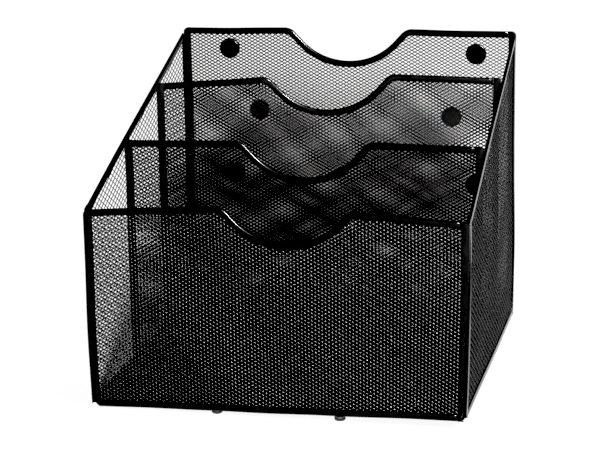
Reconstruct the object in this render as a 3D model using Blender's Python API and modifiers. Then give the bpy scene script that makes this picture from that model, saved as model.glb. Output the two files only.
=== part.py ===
"""Magazine file holder: three open pockets of black steel mesh, edged with folded channel strips.

Four upright panels (rear, two dividers, front) step down from the rear to the front. Each has a
finger scoop in its top edge. Two sloped side panels close the pockets, and a sheet of mesh between
the walls' bottom strips is the floor. Six pot magnets are riveted through the rear mesh, and four
rubber feet carry the holder on a table.

Frame: metres, +Z up, the front faces -Y, the origin is under the middle of the holder on the table.
"""
import math
from collections import namedtuple

import bmesh
import bpy

# Overall sizes
WIDTH = 0.330
DEPTH = 0.322            # front rim to rear rim
REAR_HEIGHT = 0.280      # of the panels, above the bottom strips
FRONT_HEIGHT = 0.173
FOOT_HEIGHT = 0.0045     # the bottom strips stand this far off the table

# Channel strips folded over the mesh edges
STRIP_THICK = 0.003
POST_WIDTH = 0.0070      # upright strips
RIM_WIDTH = 0.0062       # top and bottom strips
CORNER_RADIUS = 0.003
MESH_THICK = 0.001
MESH_INSET = 0.0025      # from the strip's outer edge to the mesh edge inside the channel
GAP = 0.0003             # between pieces that touch

# Finger scoop: a round bottom, a straight flank on each side, and a round shoulder
SCOOP_RADIUS = 0.062
SCOOP_ANGLE = math.radians(47)
SHOULDER_RADIUS = 0.014
SCOOP_STEPS = 12         # segments in each half of the round bottom
SHOULDER_STEPS = 5
CORNER_STEPS = 3

# Pot magnets on the rear panel
CLAMP_DISC_RADIUS = 0.010
CLAMP_DISC_THICK = 0.0016
STUD_RADIUS = 0.0016
CUP_RADIUS = 0.009
CUP_WALL = 0.0009
CUP_PROUD = 0.0040       # the cup's rim stands this far behind the rear strips
STUD_CLEARANCE = 0.0005
# Each magnet's place on the rear panel: right of the middle, and below the top. They are set by
# hand, so the pairs differ by a few millimetres.
MAGNETS = (
    (-0.118, 0.0200), (0.127, 0.0220),
    (-0.089, 0.0810), (0.103, 0.0840),
    (-0.116, 0.1460), (0.127, 0.1510),
)

# Rubber feet
FOOT_RADIUS = 0.0045
FOOT_FLAT_RADIUS = 0.0026
FOOT_X = 0.054
FOOT_INSET = 0.0055      # from the outer face of the front and rear strips

ROUND_SEGMENTS = 24

FRONT_Y = -(DEPTH + CUP_PROUD) / 2
REAR_Y = FRONT_Y + DEPTH
BASE_Z = FOOT_HEIGHT
SLOPE = (REAR_HEIGHT - FRONT_HEIGHT) / DEPTH

# An upright panel: its middle, how far its right end is swung back, how much its top edge rises
# from the corners to the shoulders of the scoop, half its width, its lower edge, how far right of
# the middle its scoop is, and the length of the scoop's straight flanks
Upright = namedtuple("Upright", "name y swing rise half base scoop flank")
HALF_WIDTH = WIDTH / 2
HALF_INNER = HALF_WIDTH - STRIP_THICK - GAP
DIVIDER_BASE = BASE_Z + MESH_THICK + GAP
UPRIGHTS = (
    Upright("rear", REAR_Y - STRIP_THICK / 2, 0.0, 0.001,
            HALF_WIDTH, BASE_Z, 0.001, 0.011),
    Upright("rear_divider", REAR_Y - 0.309 * DEPTH, 0.0115, 0.005,
            HALF_INNER, DIVIDER_BASE, 0.002, 0.011),
    Upright("front_divider", REAR_Y - 0.649 * DEPTH, 0.0025, 0.002,
            HALF_INNER, DIVIDER_BASE, 0.003, 0.011),
    Upright("front", FRONT_Y + STRIP_THICK / 2, 0.0, 0.0065,
            HALF_WIDTH, BASE_Z, 0.011, 0.0065),
)

BLACK_STRIP = ("strip_black", (0.012, 0.012, 0.013), 0.32, 0.0)
BLACK_MESH = ("mesh_black", (0.010, 0.010, 0.011), 0.42, 0.0)
BLACK_DISC = ("disc_black", (0.009, 0.009, 0.010), 0.30, 0.0)
NICKEL_CUP = ("cup_nickel", (0.55, 0.54, 0.52), 0.28, 1.0)
FERRITE = ("magnet_ferrite", (0.035, 0.034, 0.036), 0.65, 0.0)
RUBBER = ("foot_rubber", (0.015, 0.015, 0.015), 0.60, 0.0)

for old in list(bpy.data.objects):
    bpy.data.objects.remove(old, do_unlink=True)

holder = bpy.data.collections.new("magazine_file_holder")
cutters = bpy.data.collections.new("cutters")
bpy.context.scene.collection.children.link(holder)
bpy.context.scene.collection.children.link(cutters)


def material(spec):
    """The Principled material of a (name, colour, roughness, metallic) entry, made once."""
    name, colour, roughness, metallic = spec
    if name in bpy.data.materials:
        return bpy.data.materials[name]
    mat = bpy.data.materials.new(name)
    mat.use_nodes = True
    shader = mat.node_tree.nodes["Principled BSDF"]
    shader.inputs["Base Color"].default_value = (*colour, 1.0)
    shader.inputs["Roughness"].default_value = roughness
    shader.inputs["Metallic"].default_value = metallic
    return mat


def plate(name, outline, thickness, placing, collection=holder):
    """A flat outline as a 2D curve, given its thickness, made a closed mesh and put in place."""
    curve = bpy.data.curves.new(name, "CURVE")
    curve.dimensions = "2D"
    curve.fill_mode = "BOTH"
    curve.extrude = thickness / 2
    spline = curve.splines.new("POLY")
    spline.points.add(len(outline) - 1)
    for point, (u, v) in zip(spline.points, outline):
        point.co = (u, v, 0.0, 1.0)
    spline.use_cyclic_u = True
    drawn = bpy.data.objects.new(name + "_outline", curve)
    holder.objects.link(drawn)
    graph = bpy.context.evaluated_depsgraph_get()
    mesh = bpy.data.meshes.new_from_object(drawn.evaluated_get(graph))
    bpy.data.objects.remove(drawn, do_unlink=True)

    closed = bmesh.new()
    closed.from_mesh(mesh)
    bmesh.ops.remove_doubles(closed, verts=closed.verts, dist=0.00001)
    bmesh.ops.recalc_face_normals(closed, faces=closed.faces)
    closed.to_mesh(mesh)
    closed.free()

    piece = bpy.data.objects.new(name, mesh)
    piece.location, piece.rotation_euler = placing
    collection.objects.link(piece)
    return piece


def cut(piece, cutter):
    """Take the cutter's shape out of the piece."""
    cutter.hide_render = True
    cutter.display_type = "WIRE"
    boolean = piece.modifiers.new(cutter.name, "BOOLEAN")
    boolean.operation = "DIFFERENCE"
    boolean.solver = "EXACT"
    boolean.object = cutter


def turned(name, profile, placing, spec):
    """A round piece turned about its own Z axis from a profile of (radius, height) points."""
    mesh = bpy.data.meshes.new(name)
    points = [(radius, 0.0, height) for radius, height in profile]
    closing = profile[0][0] > 0
    edges = [(i, i + 1) for i in range(len(points) - 1)]
    if closing:
        edges.append((len(points) - 1, 0))
    mesh.from_pydata(points, edges, [])
    piece = bpy.data.objects.new(name, mesh)
    piece.location, piece.rotation_euler = placing
    holder.objects.link(piece)
    screw = piece.modifiers.new("turn", "SCREW")
    screw.axis = "Z"
    screw.steps = ROUND_SEGMENTS
    screw.render_steps = ROUND_SEGMENTS
    screw.use_merge_vertices = True
    screw.merge_threshold = 0.00001
    screw.use_normal_calculate = False
    screw.use_smooth_shade = True
    mesh.materials.append(material(spec))
    return piece


def scoop_line(upright):
    """The scoop's edge from its left shoulder to its right one."""
    swept = SCOOP_RADIUS + SHOULDER_RADIUS
    flank_u = upright.flank * math.cos(SCOOP_ANGLE)
    flank_v = upright.flank * math.sin(SCOOP_ANGLE)
    half = swept * math.sin(SCOOP_ANGLE) + flank_u
    depth = swept * (1 - math.cos(SCOOP_ANGLE)) + flank_v
    left = []
    for i in range(SHOULDER_STEPS + 1):
        angle = SCOOP_ANGLE * i / SHOULDER_STEPS
        left.append((-half + SHOULDER_RADIUS * math.sin(angle),
                     -SHOULDER_RADIUS * (1 - math.cos(angle))))
    for i in range(SCOOP_STEPS):
        angle = SCOOP_ANGLE * (1 - i / SCOOP_STEPS)
        left.append((-SCOOP_RADIUS * math.sin(angle),
                     -depth + SCOOP_RADIUS * (1 - math.cos(angle))))
    right = [(-u, v) for u, v in reversed(left)]
    line = left + [(0.0, -depth)] + right
    return [(u + upright.scoop, v + upright.rise) for u, v in line]


def upright_top(upright):
    """An upright's top edge from left to right: round corners, gentle rises and the scoop."""
    middle = BASE_Z + REAR_HEIGHT - SLOPE * (REAR_Y - upright.y)
    tilt = SLOPE * upright.swing / upright.half
    if upright.name == "rear":
        middle = BASE_Z + REAR_HEIGHT
    if upright.name == "front":
        middle = BASE_Z + FRONT_HEIGHT
    corner = []
    for i in range(CORNER_STEPS + 1):
        angle = math.pi / 2 * i / CORNER_STEPS
        corner.append((upright.half - CORNER_RADIUS * (1 - math.sin(angle)),
                       -CORNER_RADIUS * (1 - math.cos(angle))))
    left = [(-u, v) for u, v in reversed(corner)]
    line = left + scoop_line(upright) + corner
    return [(u, middle + v + tilt * u) for u, v in line]


def side_top(half):
    """A side panel's straight sloping top edge, from its front end to its rear end."""
    front = BASE_Z + FRONT_HEIGHT
    return [(-half, front), (half, front + SLOPE * 2 * half)]


def inset_line(line, inset):
    """The line moved down by inset, square to itself."""
    moved = []
    for i, (u, v) in enumerate(line):
        before = line[max(i - 1, 0)]
        after = line[min(i + 1, len(line) - 1)]
        run, climb = after[0] - before[0], after[1] - before[1]
        length = math.hypot(run, climb)
        moved.append((u + inset * climb / length, v - inset * run / length))
    rising = [moved[0]]
    for point in moved[1:]:
        if point[0] > rising[-1][0] + 0.0001:
            rising.append(point)
    return rising


def clip_line(line, low, high):
    """The part of a left-to-right line between u = low and u = high, with points at both."""
    def height(u):
        for (u0, v0), (u1, v1) in zip(line, line[1:]):
            if u <= u1:
                return v0 + (v1 - v0) * (u - u0) / (u1 - u0)
        return line[-1][1]
    inner = [point for point in line if low + 0.0001 < point[0] < high - 0.0001]
    return [(low, height(low))] + inner + [(high, height(high))]


def panel_outline(top, half, base, inset):
    """The whole panel's outline, moved in by inset on every side."""
    edge = clip_line(inset_line(top, inset), -half + inset, half - inset)
    return [(-half + inset, base + inset), (half - inset, base + inset)] + edge[::-1]


def edged_panel(name, top, half, base, placing, edge_words):
    """A mesh plate with a channel strip along each edge that edge_words names.

    The words are for the edges at -u, at +u, at the top and, if it has a strip, at the bottom.
    """
    mesh_base = base if len(edge_words) == 4 else base - MESH_INSET
    mesh = plate(name + "_mesh", panel_outline(top, half, mesh_base, MESH_INSET), MESH_THICK,
                 placing)
    mesh.data.materials.append(material(BLACK_MESH))
    groove = plate(name + "_groove", panel_outline(top, half, mesh_base, MESH_INSET - GAP),
                   MESH_THICK + 2 * GAP, placing, cutters)

    post = half - POST_WIDTH
    left_edge = clip_line(top, -half, -post)
    right_edge = clip_line(top, post, half)
    span = post - GAP
    outer = clip_line(top, -span, span)
    inner = clip_line(inset_line(top, RIM_WIDTH), -span, span)
    outlines = (
        [(-half, base), (-post, base)] + left_edge[::-1],
        [(post, base), (half, base)] + right_edge[::-1],
        inner + outer[::-1],
        [(-span, base), (span, base), (span, base + RIM_WIDTH), (-span, base + RIM_WIDTH)],
    )
    for word, outline in zip(edge_words, outlines):
        strip = plate(f"{name}_{word}_strip", outline, STRIP_THICK, placing)
        strip.data.materials.append(material(BLACK_STRIP))
        cut(strip, groove)
    return mesh


def make_uprights():
    """The rear panel, the dividers and the front panel. Returns the rear mesh."""
    for upright in UPRIGHTS:
        turn = math.asin(upright.swing / upright.half)
        placing = ((0.0, upright.y, 0.0), (math.pi / 2, 0.0, turn))
        words = ("left", "right", "top", "bottom")
        if upright.base == DIVIDER_BASE:
            words = words[:3]
        mesh = edged_panel(upright.name, upright_top(upright), upright.half, upright.base,
                           placing, words)
        if upright.name == "rear":
            rear_mesh = mesh
    return rear_mesh


def make_sides():
    """The two sloped side panels, which stand between the front and the rear panel."""
    half = DEPTH / 2 - STRIP_THICK - GAP
    middle = (FRONT_Y + REAR_Y) / 2
    for side, name in ((-1, "left_side"), (1, "right_side")):
        x = side * (HALF_WIDTH - STRIP_THICK / 2)
        placing = ((x, middle, 0.0), (math.pi / 2, 0.0, math.pi / 2))
        words = ("front", "rear", "top", "bottom")
        edged_panel(name, side_top(half), half, BASE_Z, placing, words)


def make_floor():
    """The floor's mesh, which lies between the walls' bottom strips."""
    half = HALF_INNER
    reach = DEPTH / 2 - STRIP_THICK - GAP
    placing = ((0.0, (FRONT_Y + REAR_Y) / 2, BASE_Z + MESH_THICK / 2), (0.0, 0.0, 0.0))
    outline = [(-half, -reach), (half, -reach), (half, reach), (-half, reach)]
    mesh = plate("floor_mesh", outline, MESH_THICK, placing)
    mesh.data.materials.append(material(BLACK_MESH))


def make_magnets(rear_mesh):
    """Each magnet is a ring in a steel cup, held by a riveted disc on the pocket side."""
    mesh_front = REAR_Y - STRIP_THICK / 2 - MESH_THICK / 2
    mesh_back = mesh_front + MESH_THICK
    disc_back = mesh_front - GAP
    cup_front = mesh_back + GAP
    cup_back = REAR_Y + CUP_PROUD
    top = BASE_Z + REAR_HEIGHT
    for number, (x, drop) in enumerate(MAGNETS, start=1):
        z = top - drop
        make_magnet(number, x, z, disc_back, cup_front, cup_back)
        bpy.ops.mesh.primitive_cylinder_add(
            vertices=16, radius=STUD_RADIUS + STUD_CLEARANCE, depth=0.02,
            location=(x, mesh_front, z), rotation=(math.pi / 2, 0.0, 0.0))
        hole = bpy.context.object
        hole.name = f"rivet_hole_{number}"
        for collection in list(hole.users_collection):
            collection.objects.unlink(hole)
        cutters.objects.link(hole)
        cut(rear_mesh, hole)


def make_magnet(number, x, z, disc_back, cup_front, cup_back):
    """One clamp disc with its rivet stud, one cup and one magnet ring, on an axis along Y."""
    placing = ((x, disc_back, z), (-math.pi / 2, 0.0, 0.0))
    edge = 0.0004
    stud_end = cup_back - disc_back - 0.0004
    bore = STUD_RADIUS + STUD_CLEARANCE
    turned(f"clamp_disc_{number}", [
        (0.0, stud_end),
        (STUD_RADIUS, stud_end),
        (STUD_RADIUS, 0.0),
        (CLAMP_DISC_RADIUS, 0.0),
        (CLAMP_DISC_RADIUS, -CLAMP_DISC_THICK + 2 * edge),
        (CLAMP_DISC_RADIUS - edge, -CLAMP_DISC_THICK + edge),
        (CLAMP_DISC_RADIUS - 3 * edge, -CLAMP_DISC_THICK),
        (0.0, -CLAMP_DISC_THICK),
    ], placing, BLACK_DISC)
    placing = ((x, cup_front, z), (-math.pi / 2, 0.0, 0.0))
    length = cup_back - cup_front
    inside = CUP_RADIUS - CUP_WALL
    turned(f"magnet_cup_{number}", [
        (CUP_RADIUS - edge, 0.0),
        (bore, 0.0),
        (bore, CUP_WALL),
        (inside, CUP_WALL),
        (inside, length),
        (CUP_RADIUS, length),
        (CUP_RADIUS, edge),
    ], placing, NICKEL_CUP)
    turned(f"magnet_{number}", [
        (bore, CUP_WALL + GAP),
        (bore, length),
        (inside - GAP, length),
        (inside - GAP, CUP_WALL + GAP),
    ], placing, FERRITE)


def make_feet():
    """Four small rubber feet, two under the front strips and two under the rear ones."""
    top = FOOT_HEIGHT - GAP
    rows = (("front", FRONT_Y + FOOT_INSET), ("rear", REAR_Y - FOOT_INSET))
    for row, y in rows:
        for side, word in ((-1, "left"), (1, "right")):
            turned(f"{row}_{word}_foot", [
                (0.0, top),
                (FOOT_RADIUS, top),
                (FOOT_RADIUS, top * 0.55),
                (FOOT_RADIUS - 0.0006, top * 0.22),
                (FOOT_FLAT_RADIUS, 0.0),
                (0.0, 0.0),
            ], ((side * FOOT_X, y, 0.0), (0.0, 0.0, 0.0)), RUBBER)


make_magnets(make_uprights())
make_sides()
make_floor()
make_feet()
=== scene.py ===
"""Looks of the magazine file holder: expanded steel mesh panels edged with folded channel strips.

Every mesh panel is a real lattice of strands round diamond holes, every strip is a bent channel
with rounded folds, and all of it has the small unevenness of sheet metal bent and welded by hand.
"""
import math
from collections import namedtuple

import bmesh
import bpy
import numpy as np
from mathutils import Matrix, Vector


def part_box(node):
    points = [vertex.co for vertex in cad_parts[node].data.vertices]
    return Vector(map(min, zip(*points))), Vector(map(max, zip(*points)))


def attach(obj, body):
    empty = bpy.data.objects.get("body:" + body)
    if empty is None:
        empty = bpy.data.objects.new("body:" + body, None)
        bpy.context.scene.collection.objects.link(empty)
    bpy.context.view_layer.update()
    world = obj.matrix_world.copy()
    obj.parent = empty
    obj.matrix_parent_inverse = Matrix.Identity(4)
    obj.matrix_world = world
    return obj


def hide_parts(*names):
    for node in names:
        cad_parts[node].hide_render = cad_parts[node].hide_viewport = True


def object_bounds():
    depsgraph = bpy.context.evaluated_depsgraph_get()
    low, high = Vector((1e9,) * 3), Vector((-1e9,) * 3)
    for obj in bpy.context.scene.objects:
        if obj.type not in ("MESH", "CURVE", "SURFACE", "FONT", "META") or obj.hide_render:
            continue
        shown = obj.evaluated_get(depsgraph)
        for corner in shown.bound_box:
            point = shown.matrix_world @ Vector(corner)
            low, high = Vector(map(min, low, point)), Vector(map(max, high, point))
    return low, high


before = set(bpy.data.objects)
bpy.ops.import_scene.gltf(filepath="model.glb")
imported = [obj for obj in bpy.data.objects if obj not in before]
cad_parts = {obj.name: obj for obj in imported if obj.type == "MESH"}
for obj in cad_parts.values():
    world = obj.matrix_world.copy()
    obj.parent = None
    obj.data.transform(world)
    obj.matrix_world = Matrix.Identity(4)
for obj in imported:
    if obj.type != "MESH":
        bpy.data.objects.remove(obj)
CAD_BOX = [list(corner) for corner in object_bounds()]
HALF_WIDTH = CAD_BOX[1][0]

# Camera
CAMERA_AZIMUTH = 13.14       # degrees to the right of straight in front
CAMERA_ELEVATION = 14.6
CAMERA_ROLL = -1.25
CAMERA_DISTANCE = 1.7313
CAMERA_LENS = 113.52         # millimetres, on a 36 mm wide sensor
CAMERA_TARGET = (0.0, 0.0, 0.140)
CAMERA_SLIDE = (0.0134, 0.0113)   # to the left and down, in the picture's plane

# Studio: the room's own light, a far key light beside the camera, and a small softbox on the
# right, as (name, azimuth, elevation, distance, size, power)
WORLD_LIGHT = 0.12
KEY_AZIMUTH = 12.5
KEY_ELEVATION = 13.5
KEY_STRENGTH = 13.4          # watts per square metre
KEY_ANGLE = 5.0              # how wide it looks from the holder, in degrees
SOFTBOX = ("softbox", 62.0, 38.0, 2.2, 0.4, 10.0)
BLACK_LEVEL = 0.028          # of the picture's tone curve

# Expanded mesh: the uprights and the floor have small diamonds, the sides have larger ones
Weave = namedtuple("Weave", "pitch_long pitch_short share drift thick tilt turn")
FINE = Weave(
    pitch_long=0.0059,       # along the long diagonal of the diamonds
    pitch_short=0.0033,
    share=0.68,              # of each pitch that is open, in the middle of the sheet
    drift=0.0,               # how much larger that share is at the sheet's right end
    thick=0.00045,           # of the strands
    tilt=-0.0001,            # how far the strands' lower edges stand out to the front
    turn=0.0,                # of the sheet in its frame, in degrees
)
COARSE = Weave(pitch_long=0.0110, pitch_short=0.0057, share=0.90, drift=0.0,
               thick=0.0007, tilt=0.0001, turn=-3.4)
# The shares, the drifts, the left side's thickness and the front's tilt were set by how bright
# each sheet should look. The floor's larger pitch keeps its triangle count down.
WEAVES = {
    "rear": FINE._replace(share=0.72, drift=0.055),
    "rear_divider": FINE,
    "front_divider": FINE._replace(share=0.70, drift=0.06),
    "front": FINE._replace(share=0.69, tilt=0.00026),
    "left_side": COARSE._replace(thick=0.00045),
    "right_side": COARSE,
    "floor": FINE._replace(pitch_long=0.0065, pitch_short=0.0036),
}
MESH_UNDER_STRIP = 0.0042    # the lattice ends this far in from a panel's outer edge

# Finger scoops, as in the CAD: how far right of the middle each is, and how long its flanks are
SCOOP_RADIUS = 0.062
SCOOP_ANGLE = math.radians(47)
SHOULDER_RADIUS = 0.014
SHOULDER_STEPS = 8
SCOOP_STEPS = 20             # on each half of the round bottom
SCOOPS = {
    "rear": (0.001, 0.011),
    "rear_divider": (0.002, 0.011),
    "front_divider": (0.003, 0.011),
    "front": (0.011, 0.0065),
}

# How far the sides bow outwards, and the height above which they are straight
SIDE_BOW = 0.0011
BOW_HEIGHT = 0.18

# How the front's lower corners are out of square, and how far up and back that reaches
CORNER_LIFT = 0.0165         # per metre to the right
CORNER_DROP = 0.0004         # of both corners
CORNER_PINCH = 0.0028        # of the right corner, to the left
CORNER_REACH_UP = 0.17
CORNER_REACH_BACK = 0.32

# Strips
STEP = 0.004                 # length of the straight pieces that a strip's outline is made of
FOLD_RADIUS = 0.0011
CORNER_RADIUS = 0.0045       # of the rear and front panels' upper corners
INNER_CORNER_RADIUS = 0.0025
FOOT_CORNER_RADIUS = 0.0022  # of the outer lower corners
ARC_STEPS = 6                # of each rounded corner
SEAM = 0.0002                # gap between two strips that meet
STRIP_SHARP = math.radians(42)    # edges sharper than this aren't shaded smooth
TURNED_SHARP = math.radians(35)   # the same for the magnets and feet
POST_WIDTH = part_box("rear_left_strip")[1].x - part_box("rear_left_strip")[0].x
RIM_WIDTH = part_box("rear_bottom_strip")[1].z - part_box("rear_bottom_strip")[0].z
STRIP_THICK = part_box("rear_left_strip")[1].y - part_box("rear_left_strip")[0].y


# ---------------------------------------------------------------- helpers

def new_object(name, mesh, mat):
    """A piece made of a mesh, with its material, in the scene."""
    piece = bpy.data.objects.new(name, mesh)
    bpy.context.scene.collection.objects.link(piece)
    mesh.materials.append(mat)
    return piece


def stand_in(piece, node):
    """Shows the piece instead of its CAD node."""
    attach(piece, "root")
    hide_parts(node)


def from_arrays(name, points, faces):
    """A mesh from an array of points and an array of four-cornered faces."""
    mesh = bpy.data.meshes.new(name)
    mesh.vertices.add(len(points))
    mesh.vertices.foreach_set("co", np.asarray(points, np.float32).ravel())
    mesh.loops.add(faces.size)
    mesh.loops.foreach_set("vertex_index", faces.astype(np.int32).ravel())
    mesh.polygons.add(len(faces))
    mesh.polygons.foreach_set("loop_start", np.arange(0, faces.size, 4, dtype=np.int32))
    mesh.polygons.foreach_set("loop_total", np.full(len(faces), 4, np.int32))
    mesh.update(calc_edges=True)
    return mesh


def uneven(points):
    """Moves points by the bows and dents of hand-bent sheet metal, and the twist of the base.

    Bows and dents together stay under 2 mm; the front's lower corners move by up to 4 mm.
    """
    p = np.array(points, float)
    x, y, z = p[:, 0].copy(), p[:, 1].copy(), p[:, 2].copy()
    bow = np.sin(np.pi * np.clip(z / BOW_HEIGHT, 0, 1))
    p[:, 0] += SIDE_BOW * np.clip(x / HALF_WIDTH, -1, 1) ** 3 * bow
    p[:, 0] += 0.00025 * np.sin(23 * z + 11 * y) + 0.00015 * np.sin(61 * z - 31 * y + 1.3)
    p[:, 1] += 0.0006 * np.sin(19 * x + 3 * z) * np.sin(24 * z + 0.7) + 0.0002 * np.sin(57 * x + 41 * z)
    corner = np.clip(1 - z / CORNER_REACH_UP, 0, 1) * np.clip(0.5 - y / CORNER_REACH_BACK, 0, 1)
    p[:, 2] += (CORNER_LIFT * x - CORNER_DROP) * corner
    p[:, 0] -= CORNER_PINCH * np.clip(x / HALF_WIDTH, 0, 1) * corner
    p[:, 2] += 0.00025 * np.sin(27 * x + 13 * y) + 0.00012 * np.sin(83 * x - 29 * y + 0.4)
    return p


def bend(mesh):
    """Applies the unevenness to a finished mesh."""
    points = np.zeros(len(mesh.vertices) * 3, np.float32)
    mesh.vertices.foreach_get("co", points)
    mesh.vertices.foreach_set("co", uneven(points.reshape(-1, 3)).astype(np.float32).ravel())
    mesh.update()


# ---------------------------------------------------------------- materials

COAT_BLACK = (0.0012, 0.0012, 0.0013)


def principled(name, colour, roughness, metallic=0.0, specular=0.5):
    """A material with one shader, as (material, node tree, shader)."""
    mat = bpy.data.materials.new(name)
    mat.use_nodes = True
    shader = mat.node_tree.nodes["Principled BSDF"]
    shader.inputs["Base Color"].default_value = (*colour, 1.0)
    shader.inputs["Roughness"].default_value = roughness
    shader.inputs["Metallic"].default_value = metallic
    shader.inputs["Specular IOR Level"].default_value = specular
    return mat, mat.node_tree, shader


def noise(tree, scale, detail, seed_shift):
    """A noise texture in the object's own coordinates, in metres."""
    place = tree.nodes.new("ShaderNodeTexCoord")
    shift = tree.nodes.new("ShaderNodeMapping")
    shift.inputs["Location"].default_value = (seed_shift, seed_shift * 0.7, seed_shift * 1.3)
    texture = tree.nodes.new("ShaderNodeTexNoise")
    texture.inputs["Scale"].default_value = scale
    texture.inputs["Detail"].default_value = detail
    tree.links.new(place.outputs["Object"], shift.inputs["Vector"])
    tree.links.new(shift.outputs["Vector"], texture.inputs["Vector"])
    return texture


def vary_roughness(tree, shader, texture, low, high):
    """Roughness from low to high, by a noise texture."""
    spread = tree.nodes.new("ShaderNodeMapRange")
    spread.inputs["From Min"].default_value = 0.3
    spread.inputs["From Max"].default_value = 0.7
    spread.inputs["To Min"].default_value = low
    spread.inputs["To Max"].default_value = high
    tree.links.new(texture.outputs["Fac"], spread.inputs["Value"])
    tree.links.new(spread.outputs["Result"], shader.inputs["Roughness"])


def vary_colour(tree, shader, texture, dark, light):
    """Colour from dark to light, by a noise texture."""
    ramp = tree.nodes.new("ShaderNodeValToRGB")
    ramp.color_ramp.elements[0].position = 0.35
    ramp.color_ramp.elements[0].color = (*dark, 1.0)
    ramp.color_ramp.elements[1].position = 0.68
    ramp.color_ramp.elements[1].color = (*light, 1.0)
    tree.links.new(texture.outputs["Fac"], ramp.inputs["Fac"])
    tree.links.new(ramp.outputs["Color"], shader.inputs["Base Color"])


def bumps(tree, shader, texture, height, strength):
    """Bumps of that height in metres, by a noise texture."""
    bump = tree.nodes.new("ShaderNodeBump")
    bump.inputs["Distance"].default_value = height
    bump.inputs["Strength"].default_value = strength
    tree.links.new(texture.outputs["Fac"], bump.inputs["Height"])
    tree.links.new(bump.outputs["Normal"], shader.inputs["Normal"])


def make_strip_coat():
    """Satin black powder coat on the folded strips: fine orange peel and duller patches."""
    mat, tree, shader = principled("strip_powder_coat", COAT_BLACK, 0.16, specular=0.2)
    vary_colour(tree, shader, noise(tree, 260, 3, 2.0), (0.0008, 0.0008, 0.0009), (0.002, 0.002, 0.0021))
    vary_roughness(tree, shader, noise(tree, 90, 3, 5.0), 0.12, 0.2)
    bumps(tree, shader, noise(tree, 1500, 2, 9.0), 0.00003, 0.4)
    return mat


def make_mesh_coat(name, specular):
    """The same coat on the mesh strands, in glossier and duller patches."""
    mat, tree, shader = principled(name, COAT_BLACK, 0.2, specular=specular)
    vary_roughness(tree, shader, noise(tree, 60, 3, 7.0), 0.17, 0.24)
    return mat


def make_disc_enamel():
    """Glossy black enamel on the clamp discs."""
    mat, tree, shader = principled("disc_enamel", COAT_BLACK, 0.15, specular=0.3)
    vary_roughness(tree, shader, noise(tree, 300, 3, 3.0), 0.1, 0.2)
    bumps(tree, shader, noise(tree, 900, 2, 4.0), 0.00004, 0.4)
    return mat


def make_nickel():
    """Nickel plate on the magnets' cups, with brighter and duller patches."""
    mat, tree, shader = principled("cup_nickel_plate", (0.50, 0.49, 0.46), 0.3, metallic=1.0)
    vary_colour(tree, shader, noise(tree, 700, 4, 1.0), (0.42, 0.41, 0.385), (0.56, 0.55, 0.53))
    vary_roughness(tree, shader, noise(tree, 500, 4, 6.0), 0.2, 0.42)
    return mat


def make_ferrite():
    """Dark grey, finely grained ferrite."""
    mat, tree, shader = principled("magnet_ferrite", (0.03, 0.03, 0.032), 0.6)
    vary_colour(tree, shader, noise(tree, 1600, 4, 8.0), (0.022, 0.022, 0.024), (0.05, 0.048, 0.05))
    bumps(tree, shader, noise(tree, 2600, 3, 8.5), 0.00008, 0.6)
    return mat


def make_rubber():
    """Black moulded rubber."""
    mat, tree, shader = principled("foot_rubber", (0.012, 0.012, 0.012), 0.55)
    vary_colour(tree, shader, noise(tree, 500, 3, 4.0), (0.009, 0.009, 0.009), (0.02, 0.02, 0.019))
    bumps(tree, shader, noise(tree, 1800, 3, 2.0), 0.00008, 0.5)
    return mat


STRIP_COAT = make_strip_coat()
MESH_COAT = make_mesh_coat("mesh_powder_coat", 0.09)
FRONT_MESH_COAT = make_mesh_coat("front_mesh_powder_coat", 0.17)
DISC_ENAMEL = make_disc_enamel()
NICKEL = make_nickel()
FERRITE = make_ferrite()
RUBBER = make_rubber()


# ---------------------------------------------------------------- panels

class Panel:
    """A flat panel: u runs along it and v up it from origin, and its top edge is a line of (u, v).

    strips names its strips at -u, at +u, at the top and, if it has one, at the bottom.
    """

    def __init__(self, name, words, origin, along, up, half, base, top):
        self.name = name
        self.strips = [f"{name}_{word}_strip" for word in words]
        self.origin = np.array(origin, float)
        self.along = np.array(along, float) / np.linalg.norm(along)
        self.up = np.array(up, float)
        self.through = np.cross(self.along, self.up)
        self.half = half
        self.base = base
        self.top = top

    def world(self, u, v, w):
        """World points of panel coordinates given as arrays or single numbers."""
        u, v, w = np.broadcast_arrays(np.asarray(u, float), v, w)
        return (self.origin + u[..., None] * self.along + v[..., None] * self.up
                + w[..., None] * self.through)


def centre(node):
    """The middle of a CAD node's box."""
    low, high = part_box(node)
    return (low + high) / 2


def scoop_line(offset, flank):
    """A scoop's edge from its left shoulder to its right one, with the shoulders at v = 0."""
    swept = SCOOP_RADIUS + SHOULDER_RADIUS
    half = swept * math.sin(SCOOP_ANGLE) + flank * math.cos(SCOOP_ANGLE)
    depth = swept * (1 - math.cos(SCOOP_ANGLE)) + flank * math.sin(SCOOP_ANGLE)
    left = []
    for i in range(SHOULDER_STEPS + 1):
        angle = SCOOP_ANGLE * i / SHOULDER_STEPS
        left.append((-half + SHOULDER_RADIUS * math.sin(angle),
                     -SHOULDER_RADIUS * (1 - math.cos(angle))))
    for i in range(SCOOP_STEPS):
        angle = SCOOP_ANGLE * (1 - i / SCOOP_STEPS)
        left.append((-SCOOP_RADIUS * math.sin(angle),
                     -depth + SCOOP_RADIUS * (1 - math.cos(angle))))
    line = left + [(0.0, -depth)] + [(-u, v) for u, v in reversed(left)]
    return [(u + offset, v) for u, v in line]


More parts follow.
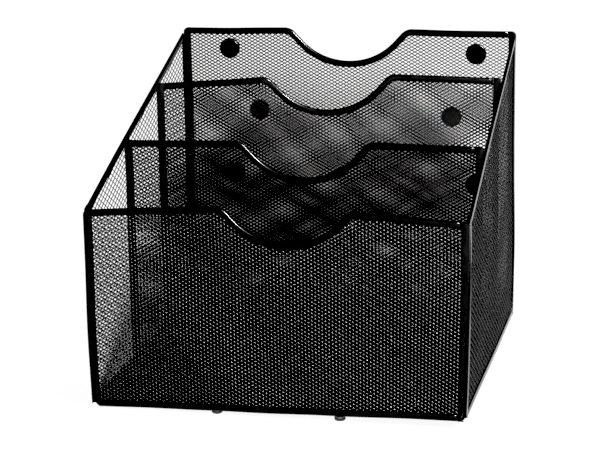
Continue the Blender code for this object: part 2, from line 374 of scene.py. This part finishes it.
def upright_panel(name):
    """The panel frame of an upright, from the places of its strips."""
    left, right, rim = (f"{name}_{word}_strip" for word in ("left", "right", "top"))
    left_middle, right_middle = centre(left), centre(right)
    along = right_middle - left_middle
    along.z = 0
    half = along.length / 2 + POST_WIDTH / 2
    post = half - POST_WIDTH
    origin = (left_middle + right_middle) / 2
    origin.z = 0
    left_top, right_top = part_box(left)[1].z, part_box(right)[1].z
    middle, tilt = (left_top + right_top) / 2, (right_top - left_top) / (2 * post)
    shoulders = scoop_line(*SCOOPS[name])
    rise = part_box(rim)[1].z - middle - tilt * shoulders[-1][0]
    line = [(-half, middle)] + [(u, v + middle + rise) for u, v in shoulders] + [(half, middle)]
    line = [(u, v + tilt * u) for u, v in line]
    words = ("left", "right", "top", "bottom")[:3 if "divider" in name else 4]
    return Panel(name, words, origin, along, (0, 0, 1), half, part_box(left)[0].z, line)


def side_panel(name):
    """The panel frame of a side, whose top edge slopes."""
    front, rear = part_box(f"{name}_front_strip"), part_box(f"{name}_rear_strip")
    middle = (front[0].y + rear[1].y) / 2
    half = (rear[1].y - front[0].y) / 2
    slope = (rear[1].z - front[1].z) / (2 * half - POST_WIDTH)
    top = [(-half, front[1].z - slope * POST_WIDTH), (half, rear[1].z)]
    origin = (centre(f"{name}_mesh").x, middle, 0.0)
    return Panel(name, ("front", "rear", "top", "bottom"), origin, (0, 1, 0), (0, 0, 1),
                 half, front[0].z, top)


def floor_panel():
    """The panel frame of the floor, which has no strips of its own."""
    low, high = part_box("floor_mesh")
    half, reach = (high.x - low.x) / 2, (high.y - low.y) / 2
    return Panel("floor", (), (low + high) / 2, (1, 0, 0), (0, 1, 0), half, -reach,
                 [(-half, reach), (half, reach)])


# ---------------------------------------------------------------- outlines

def inset_line(line, inset):
    """The line moved down by inset, square to itself."""
    moved = []
    for i, (u, v) in enumerate(line):
        before, after = line[max(i - 1, 0)], line[min(i + 1, len(line) - 1)]
        run, climb = after[0] - before[0], after[1] - before[1]
        length = math.hypot(run, climb)
        moved.append((u + inset * climb / length, v - inset * run / length))
    return moved


def between(line, low, high):
    """The part of a left-to-right line from u = low to u = high."""
    array = np.array(line)
    inner = [point for point in line if low + 0.0002 < point[0] < high - 0.0002]
    ends = np.interp([low, high], array[:, 0], array[:, 1])
    return [(low, ends[0])] + inner + [(high, ends[1])]


def rounded(outline, radii):
    """A closed outline whose corners get arcs: radii maps a corner's index to its radius."""
    result = []
    for i, point in enumerate(outline):
        if i not in radii:
            result.append(point)
            continue
        here = Vector(point)
        before = (Vector(outline[i - 1]) - here).normalized()
        after = (Vector(outline[(i + 1) % len(outline)]) - here).normalized()
        turn = math.pi - before.angle(after)
        reach = radii[i] * math.tan(turn / 2)
        middle = here + (before + after).normalized() * radii[i] / math.cos(turn / 2)
        start = here + before * reach - middle
        sign = 1 if start.x * after.y - start.y * after.x > 0 else -1
        for k in range(ARC_STEPS + 1):
            angle = sign * turn * k / ARC_STEPS
            result.append((middle.x + start.x * math.cos(angle) - start.y * math.sin(angle),
                           middle.y + start.x * math.sin(angle) + start.y * math.cos(angle)))
    return result


def stepped(outline):
    """The closed outline with extra points on its long edges, so that it can bow."""
    result = []
    for i, (u0, v0) in enumerate(outline):
        u1, v1 = outline[(i + 1) % len(outline)]
        count = max(1, round(math.hypot(u1 - u0, v1 - v0) / STEP))
        for k in range(count):
            result.append((u0 + (u1 - u0) * k / count, v0 + (v1 - v0) * k / count))
    return result


# ---------------------------------------------------------------- strips

def bar(name, panel, outline):
    """A strip: the outline in a panel's plane, given a thickness and rounded folds."""
    shape = bmesh.new()
    rings = []
    for w in (-STRIP_THICK / 2, STRIP_THICK / 2):
        places = panel.world([u for u, _ in outline], [v for _, v in outline], w)
        rings.append([shape.verts.new(place) for place in places])
    back, front = rings
    caps = [shape.faces.new(back[::-1]), shape.faces.new(front)]
    for i, vert in enumerate(back):
        j = (i + 1) % len(back)
        shape.faces.new((vert, back[j], front[j], front[i]))
    bmesh.ops.recalc_face_normals(shape, faces=shape.faces)
    folds = [edge for cap in caps for edge in cap.edges]
    bmesh.ops.bevel(shape, geom=folds, offset=FOLD_RADIUS, segments=3, profile=0.5,
                    affect="EDGES", clamp_overlap=True)
    mesh = bpy.data.meshes.new(name)
    shape.to_mesh(mesh)
    shape.free()
    bend(mesh)
    mesh.shade_smooth()
    mesh.set_sharp_from_angle(angle=STRIP_SHARP)
    return new_object(name, mesh, STRIP_COAT)


def strip_outlines(panel):
    """The outlines of a panel's four strips, in the order of its strip names."""
    half, base = panel.half, panel.base
    post, span = half - POST_WIDTH, half - POST_WIDTH - SEAM
    left_edge = between(panel.top, -half, -post)
    right_edge = between(panel.top, post, half)
    inner = between(inset_line(panel.top, RIM_WIDTH), -span, span)
    outer = between(panel.top, -span, span)
    first = [(-half, base), (-post, base)] + left_edge[::-1]
    second = [(post, base), (half, base)] + right_edge[::-1]
    corner = CORNER_RADIUS if panel.name in ("rear", "front") else INNER_CORNER_RADIUS
    first = rounded(first, {0: FOOT_CORNER_RADIUS, len(first) - 1: corner})
    second = rounded(second, {1: FOOT_CORNER_RADIUS, 2: corner})
    bottom = [(-span, base), (span, base), (span, base + RIM_WIDTH), (-span, base + RIM_WIDTH)]
    return first, second, inner + outer[::-1], bottom


def make_strips(panel):
    """The channel strips round a panel. The floor has none."""
    if not panel.strips:
        return
    for node, outline in zip(panel.strips, strip_outlines(panel)):
        stand_in(bar(node + "_channel", panel, stepped(outline)), node)


# ---------------------------------------------------------------- expanded mesh

def diamond_lattice(reach_u, reach_v, inside, weave):
    """Points and four-cornered faces of a flat lattice of strands round diamond holes.

    Each hole has four corners. A face joins the corners round each knuckle between holes, and a
    face fills each strand between two holes. Faces whose middle is not inside are left out.
    """
    pitch_u, pitch_v = weave.pitch_long, weave.pitch_short
    columns = int(2 * reach_u / pitch_u) + 2
    rows = int(4 * reach_v / pitch_v) + 2
    i, j = np.meshgrid(np.arange(columns), np.arange(rows), indexing="ij")
    u = (i + 0.5 * (j % 2)) * pitch_u - reach_u
    v = j * pitch_v / 2 - reach_v
    share = weave.share + weave.drift * u / reach_u
    p, q = share * pitch_u / 2, share * pitch_v / 2
    corners = np.stack([
        np.stack([u + p, v], -1), np.stack([u, v + q], -1),
        np.stack([u - p, v], -1), np.stack([u, v - q], -1)], 2)
    turn = math.radians(weave.turn)
    points = corners.reshape(-1, 2) @ np.array([[math.cos(turn), math.sin(turn)],
                                                [-math.sin(turn), math.cos(turn)]])
    right, up, left, down = ((i * rows + j) * 4 + k for k in range(4))

    def at(index, di, dj):
        """The corner's index at each hole's neighbour di to the right and dj rows up."""
        shift = np.where(j % 2 == 1, di[1], di[0])
        ii, jj = i + shift, j + dj
        valid = (ii >= 0) & (ii < columns) & (jj >= 0) & (jj < rows)
        return np.where(valid, index[np.clip(ii, 0, columns - 1), np.clip(jj, 0, rows - 1)], -1)

    right_up, left_up, right_down = (0, 1), (-1, 0), (0, 1)
    faces = np.concatenate([
        np.stack([right, at(up, right_down, -1), at(left, (1, 1), 0), at(down, right_up, 1)], -1),
        np.stack([right, at(down, right_up, 1), at(left, right_up, 1), up], -1),
        np.stack([left, up, at(right, left_up, 1), at(down, left_up, 1)], -1),
    ]).reshape(-1, 4)
    faces = faces[(faces >= 0).all(1)]
    middles = points[faces].mean(1)
    faces = faces[inside(middles[:, 0], middles[:, 1])]
    used = np.unique(faces)
    renumber = np.full(len(points), -1)
    renumber[used] = np.arange(len(used))
    lean = np.tile([0.0, 1.0, 0.0, -1.0], len(points) // 4)[used]
    return points[used], renumber[faces], lean


def make_mesh_sheet(panel):
    """A panel's expanded mesh as a closed lattice, which ends inside its strips."""
    weave = WEAVES[panel.name]
    rim = MESH_UNDER_STRIP if panel.strips else 0.0
    foot = rim if len(panel.strips) == 4 else 0.0
    edge = np.array(inset_line(panel.top, rim))

    def inside(u, v):
        kept = (np.abs(u) < panel.half - rim) & (v > panel.base + foot)
        kept &= v < np.interp(u, edge[:, 0], edge[:, 1])
        return kept

    top = max(v for _, v in panel.top)
    middle = (top + panel.base) / 2
    flat, faces, lean = diamond_lattice(
        panel.half + 0.01, (top - panel.base) / 2 + 0.02,
        lambda u, v: inside(u, v + middle), weave)
    u, v = flat[:, 0], flat[:, 1] + middle
    front = panel.world(u, v, weave.thick / 2 + weave.tilt * lean)
    back = panel.world(u, v, -weave.thick / 2 + weave.tilt * lean)
    count = len(flat)
    sides = np.stack([faces, np.roll(faces, -1, 1)], -1).reshape(-1, 2)
    keys = sides[:, 0] * count + sides[:, 1]
    open_sides = sides[~np.isin(keys, sides[:, 1] * count + sides[:, 0])]
    walls = np.stack([open_sides[:, 0] + count, open_sides[:, 1] + count,
                      open_sides[:, 1], open_sides[:, 0]], -1)
    all_faces = np.concatenate([faces, faces[:, ::-1] + count, walls])
    node = panel.name + "_mesh"
    mesh = from_arrays(node + "_expanded", uneven(np.concatenate([front, back])), all_faces)
    coat = FRONT_MESH_COAT if panel.name == "front" else MESH_COAT
    stand_in(new_object(node + "_expanded", mesh, coat), node)


# ---------------------------------------------------------------- magnets and feet

BACK = (0, 1, 0)
MAGNET_COUNT = 6
MAGNET_BORE = 0.0021         # radius of the holes in a cup and a ring
TURNED_SEGMENTS = 72


def turned(name, profile, place, axis, mat):
    """A round piece: a profile of (radius, height) points turned about axis through place."""
    axis = Vector(axis).normalized()
    side = axis.orthogonal().normalized()
    other = axis.cross(side)
    shape = bmesh.new()
    rings = []
    for radius, height in profile:
        middle = Vector(place) + axis * height
        if radius == 0:
            rings.append([shape.verts.new(middle)])
            continue
        ring = []
        for k in range(TURNED_SEGMENTS):
            angle = 2 * math.pi * k / TURNED_SEGMENTS
            out = side * math.cos(angle) + other * math.sin(angle)
            ring.append(shape.verts.new(middle + out * radius))
        rings.append(ring)
    pairs = list(zip(rings, rings[1:]))
    if profile[0][0] > 0:
        pairs.append((rings[-1], rings[0]))
    for first, second in pairs:
        for k in range(TURNED_SEGMENTS):
            m = (k + 1) % TURNED_SEGMENTS
            corners = [first[k % len(first)], first[m % len(first)],
                       second[m % len(second)], second[k % len(second)]]
            shape.faces.new(list(dict.fromkeys(corners)))
    bmesh.ops.recalc_face_normals(shape, faces=shape.faces)
    mesh = bpy.data.meshes.new(name)
    shape.to_mesh(mesh)
    shape.free()
    mesh.shade_smooth()
    mesh.set_sharp_from_angle(angle=TURNED_SHARP)
    return new_object(name, mesh, mat)


def arc(middle_r, middle_h, radius, start, end, steps=5):
    """Profile points on a round edge, from one angle to another, in degrees."""
    points = []
    for k in range(steps + 1):
        angle = math.radians(start + (end - start) * k / steps)
        points.append((middle_r + radius * math.cos(angle), middle_h + radius * math.sin(angle)))
    return points


def make_disc(node, x, z):
    """An enamelled clamp disc with its rivet stud, in front of the rear mesh."""
    low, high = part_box(node)
    radius = (high.x - low.x) / 2
    thick = 0.0016
    edge = 0.0007
    stud = 0.0016
    end = high.y - low.y
    profile = [(0.0, 0.00012), (0.0042, 0.0001), (0.0050, 0.00002), (radius - 0.0015, 0.0)]
    profile += arc(radius - edge, edge, edge, -90, 0)
    profile += [(radius, thick - 0.0002), (radius - 0.0002, thick), (stud, thick),
                (stud, end - 0.0008)]
    profile += arc(stud - 0.0004, end - 0.0004, 0.0004, 0, 90, 3) + [(0.0, end)]
    stand_in(turned(node + "_domed", profile, (x, low.y, z), BACK, DISC_ENAMEL), node)


def make_cup(node, x, z):
    """A nickel-plated steel cup, open to the back."""
    low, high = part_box(node)
    outer = (high.x - low.x) / 2
    wall = 0.0009
    length = high.y - low.y
    inner = outer - wall
    profile = [(MAGNET_BORE, 0.0)] + arc(outer - 0.0008, 0.0008, 0.0008, -90, 0)
    profile += arc(outer - 0.0002, length - 0.0002, 0.0002, 0, 90, 3)
    profile += arc(inner + 0.0002, length - 0.0002, 0.0002, 90, 180, 3)
    profile += [(inner, wall), (MAGNET_BORE, wall)]
    stand_in(turned(node + "_drawn", profile, (x, low.y, z), BACK, NICKEL), node)


def make_ring(node, x, z):
    """The ferrite ring in a cup."""
    low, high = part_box(node)
    outer = (high.x - low.x) / 2
    bore = MAGNET_BORE
    length = high.y - low.y
    chamfer = 0.0003
    profile = [(bore, 0.0), (outer, 0.0), (outer, length - chamfer), (outer - chamfer, length),
               (bore + chamfer, length), (bore, length - chamfer)]
    stand_in(turned(node + "_ground", profile, (x, low.y, z), BACK, FERRITE), node)


def make_magnet(number):
    """A pot magnet on the rear mesh: a clamp disc, a cup and a ring on one stud."""
    middle = centre(f"magnet_cup_{number}")
    make_disc(f"clamp_disc_{number}", middle.x, middle.z)
    make_cup(f"magnet_cup_{number}", middle.x, middle.z)
    make_ring(f"magnet_{number}", middle.x, middle.z)


def make_foot(node):
    """A moulded rubber foot with a rounded tip."""
    low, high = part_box(node)
    x, y = (low.x + high.x) / 2, (low.y + high.y) / 2
    radius = (high.x - low.x) / 2
    top = high.z
    tip = 0.0026
    profile = [(0.0, 0.0), (tip - 0.0002, 0.0)]
    profile += arc(tip + 0.0003, 0.0019, 0.0019, -90, 0)[1:]
    profile += [(radius - 0.0012, 0.0021), (radius - 0.0003, 0.0024), (radius, 0.0028),
                (radius, top - 0.0003), (radius - 0.0003, top), (0.0, top)]
    stand_in(turned(node + "_moulded", profile, (x, y, 0.0), (0, 0, 1), RUBBER), node)


# ---------------------------------------------------------------- the holder

UPRIGHTS = {name: upright_panel(name) for name in SCOOPS}
SIDES = {name: side_panel(name) for name in ("left_side", "right_side")}
FLOOR = floor_panel()

for panel in (*UPRIGHTS.values(), *SIDES.values(), FLOOR):
    make_mesh_sheet(panel)
    make_strips(panel)
for number in range(1, MAGNET_COUNT + 1):
    make_magnet(number)
for node in ("front_left_foot", "front_right_foot", "rear_left_foot", "rear_right_foot"):
    make_foot(node)


# ---------------------------------------------------------------- studio

def make_floor_plane():
    """A pale seamless table top, far larger than the picture."""
    reach = 12.0
    corners = np.array([(-reach, -reach, 0), (reach, -reach, 0),
                        (reach, reach, 0), (-reach, reach, 0)])
    mat, _, _ = principled("pale_table", (0.92, 0.92, 0.92), 0.9, specular=0.1)
    plane = new_object("table_top", from_arrays("table_top", corners, np.array([[0, 1, 2, 3]])), mat)


def make_world():
    """White light from all round."""
    world = bpy.data.worlds.new("studio")
    bpy.context.scene.world = world
    world.use_nodes = True
    background = world.node_tree.nodes["Background"]
    background.inputs["Color"].default_value = (1.0, 1.0, 1.0, 1.0)
    background.inputs["Strength"].default_value = WORLD_LIGHT


def towards(azimuth, elevation):
    """The direction from the holder to something at that azimuth, right of the front, in degrees."""
    az, el = math.radians(azimuth), math.radians(elevation)
    return Vector((math.sin(az) * math.cos(el), -math.cos(az) * math.cos(el), math.sin(el)))


def make_softbox(name, azimuth, elevation, distance, size, power):
    """A square softbox that faces the holder from the given direction."""
    lamp = bpy.data.lights.new(name, "AREA")
    lamp.shape = "SQUARE"
    lamp.size = size
    lamp.energy = power
    light = bpy.data.objects.new(name, lamp)
    direction = towards(azimuth, elevation)
    light.location = Vector(CAMERA_TARGET) + direction * distance
    light.rotation_euler = direction.to_track_quat("Z", "Y").to_euler()
    bpy.context.scene.collection.objects.link(light)


def make_key():
    """The far key light beside the camera."""
    lamp = bpy.data.lights.new("key", "SUN")
    lamp.energy = KEY_STRENGTH
    lamp.angle = math.radians(KEY_ANGLE)
    light = bpy.data.objects.new("key", lamp)
    light.rotation_euler = towards(KEY_AZIMUTH, KEY_ELEVATION).to_track_quat("Z", "Y").to_euler()
    bpy.context.scene.collection.objects.link(light)


def make_camera():
    """The camera, aimed at CAMERA_TARGET, then rolled and slid in the picture's plane."""
    back = towards(CAMERA_AZIMUTH, CAMERA_ELEVATION)
    roll = math.radians(CAMERA_ROLL)
    right = (-back).cross(Vector((0, 0, 1))).normalized()
    up = back.cross(right)
    rolled_right = right * math.cos(roll) + up * math.sin(roll)
    rolled_up = up * math.cos(roll) - right * math.sin(roll)
    slide_right, slide_up = CAMERA_SLIDE
    place = (Vector(CAMERA_TARGET) + back * CAMERA_DISTANCE
             - rolled_right * slide_right - rolled_up * slide_up)
    camera = bpy.data.objects.new("camera", bpy.data.cameras.new("camera"))
    camera.data.lens = CAMERA_LENS
    camera.data.sensor_width = 36.0
    camera.data.clip_end = 100.0
    camera.matrix_world = Matrix((
        (rolled_right.x, rolled_up.x, back.x, place.x),
        (rolled_right.y, rolled_up.y, back.y, place.y),
        (rolled_right.z, rolled_up.z, back.z, place.z),
        (0, 0, 0, 1)))
    bpy.context.scene.collection.objects.link(camera)
    bpy.context.scene.camera = camera


def set_tones():
    """A plain sRGB picture whose deepest tones are black, as in a catalogue picture."""
    tones = bpy.context.scene.view_settings
    tones.view_transform = "Standard"
    tones.use_curve_mapping = True
    tones.curve_mapping.black_level = (BLACK_LEVEL, BLACK_LEVEL, BLACK_LEVEL)
    tones.curve_mapping.update()


make_floor_plane()
make_world()
make_key()
make_softbox(*SOFTBOX)
make_camera()
set_tones()
